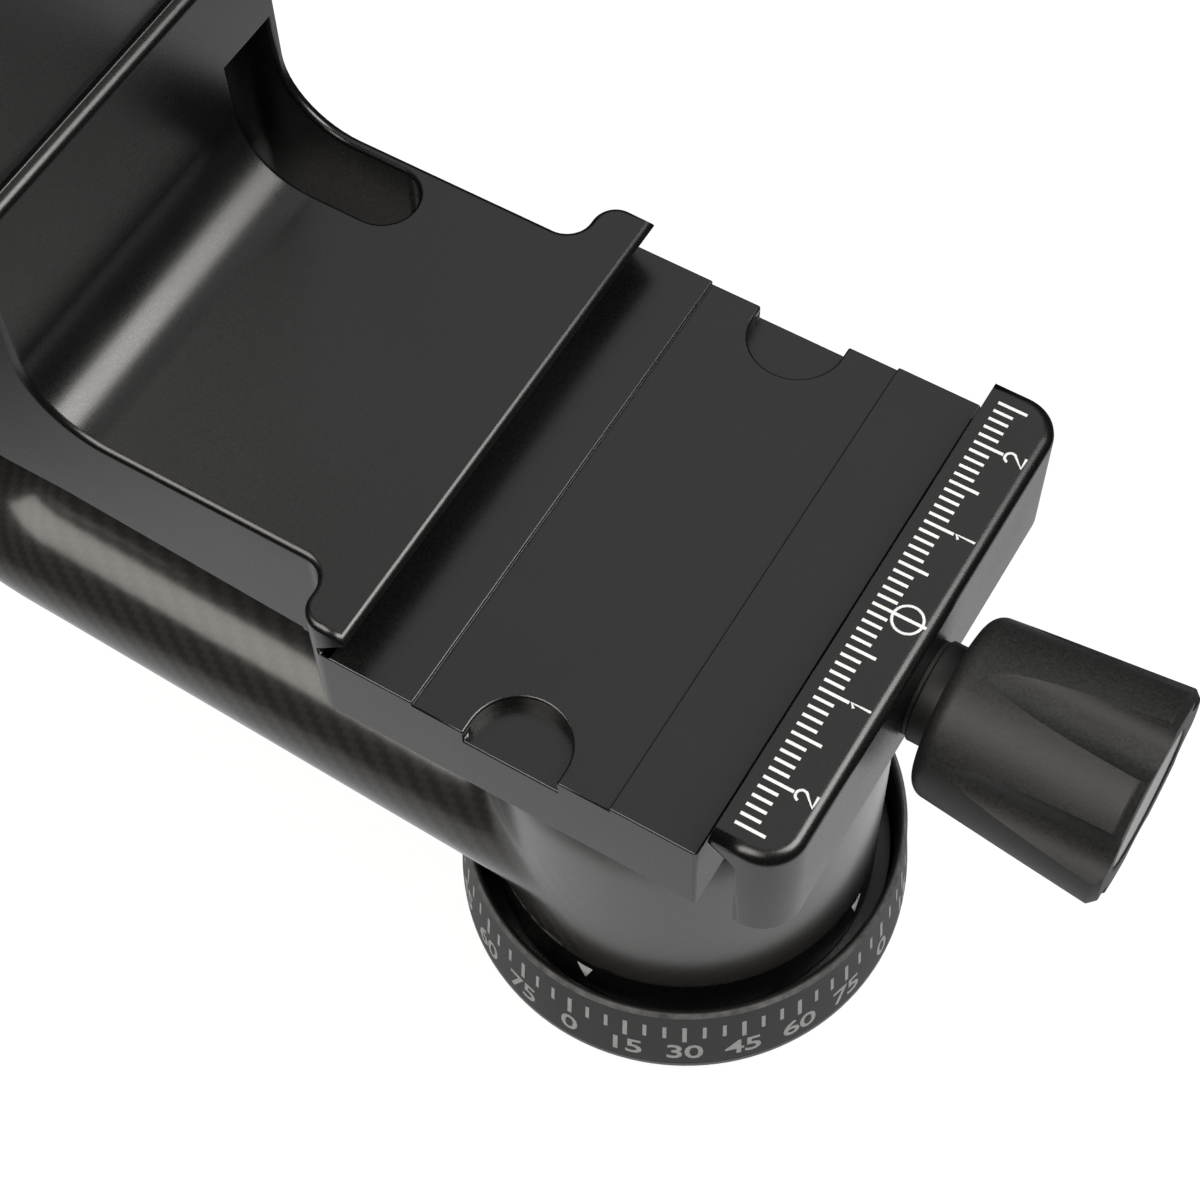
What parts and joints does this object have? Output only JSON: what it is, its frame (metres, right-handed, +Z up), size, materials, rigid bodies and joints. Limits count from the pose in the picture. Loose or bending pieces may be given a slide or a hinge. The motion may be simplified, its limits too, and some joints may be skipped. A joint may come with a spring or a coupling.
{
  "type": "gimbal head",
  "caption": "Camera gimbal head with a round pan base and dial, a bent carbon arm, a tilt hub with a lock knob, and a hanging L-shaped cradle that ends in a dovetail clamp.",
  "frame": {"origin": "centre of the tripod face under the base, on the pan axis", "axes": "+Z is up along the pan axis, +X runs along the tilt axis from the arm to the clamp knob, +Y is along the clamp to the far side in the picture"},
  "size_m": [0.197, 0.0718, 0.177],
  "materials": {
    "black_anodised": "satin, bead-blasted black anodise",
    "dial_grey": "satin dark grey anodise with printed marks",
    "carbon": "carbon twill under a satin clear coat",
    "knob_black": "satin black with a fine speckle",
    "disc_grey": "satin grey",
    "bare_steel": "turned",
    "bearing_steel": "ground",
    "dark_steel": "blackened",
    "brake_brass": "turned"
  },
  "bodies": {
    "base": {"base_plate": "black_anodised", "dial_ring": "dial_grey", "tripod_bush": "bare_steel", "pan_spindle": "bare_steel", "base_screws": "dark_steel", "spindle_washer": "bare_steel", "spindle_nut": "bare_steel"},
    "arm": {"pan_housing": "black_anodised", "lower_pan_bearing": "bearing_steel", "upper_pan_bearing": "bearing_steel", "arm_shell": "carbon", "tilt_housing": "black_anodised", "inner_tilt_bearing": "bearing_steel", "outer_tilt_bearing": "bearing_steel", "end_cap": "black_anodised", "end_cap_screws": "dark_steel"},
    "pan_brake": {"pan_brake_shoe": "brake_brass"},
    "pan_knob": {"pan_lock_knob": "knob_black", "pan_lock_screw": "dark_steel", "pan_knob_disc": "disc_grey"},
    "tilt_brake": {"tilt_brake_pad": "brake_brass"},
    "tilt_knob": {"tilt_lock_knob": "knob_black", "tilt_lock_screw": "dark_steel", "tilt_knob_disc": "disc_grey"},
    "cradle": {"tilt_shaft": "bare_steel", "tilt_nut": "bare_steel", "cradle": "black_anodised", "hub_screws": "dark_steel"},
    "jaw": {"jaw": "black_anodised", "guide_pins": "bare_steel"},
    "clamp_knob": {"clamp_knob": "knob_black", "clamp_screw": "dark_steel", "clamp_washer": "dark_steel", "clamp_knob_disc": "disc_grey"}
  },
  "joints": [
    {"name": "pan", "type": "hinge", "parent": "base", "child": "arm", "pos_m": [0, 0, 0], "axis": [0, 0, 1], "continuous": true},
    {"name": "pan_brake_slide", "type": "slide", "parent": "arm", "child": "pan_brake", "axis": [0, -1, 0], "range_m": [-0.0005, 0.00016667]},
    {"name": "pan_knob_turn", "type": "hinge", "parent": "pan_brake", "child": "pan_knob", "pos_m": [0, 0.03, 0.0256], "axis": [0, -1, 0], "range_deg": [-190, 70]},
    {"name": "tilt", "type": "hinge", "parent": "arm", "child": "cradle", "pos_m": [-0.08, 0, 0.15097], "axis": [1, 0, 0], "continuous": true},
    {"name": "tilt_brake_slide", "type": "slide", "parent": "arm", "child": "tilt_brake", "axis": [1, 0, 0], "range_m": [-0.0005, 0.00016667]},
    {"name": "tilt_knob_turn", "type": "hinge", "parent": "tilt_brake", "child": "tilt_knob", "pos_m": [-0.14, 0, 0.15097], "axis": [1, 0, 0], "range_deg": [-190, 70]},
    {"name": "jaw_slide", "type": "slide", "parent": "cradle", "child": "jaw", "axis": [1, 0, 0], "range_m": [-0.0035, 0.004]},
    {"name": "clamp_knob_turn", "type": "hinge", "parent": "jaw", "child": "clamp_knob", "pos_m": [0.03, 0, 0.06877], "axis": [1, 0, 0], "range_deg": [-1300, 1500]}
  ],
  "couplings": [
    {"joint": "pan_knob_turn", "follows": "pan_brake_slide", "rad_per_m": 6283.2},
    {"joint": "tilt_knob_turn", "follows": "tilt_brake_slide", "rad_per_m": 6283.2},
    {"joint": "clamp_knob_turn", "follows": "jaw_slide", "rad_per_m": 6283.2}
  ]
}
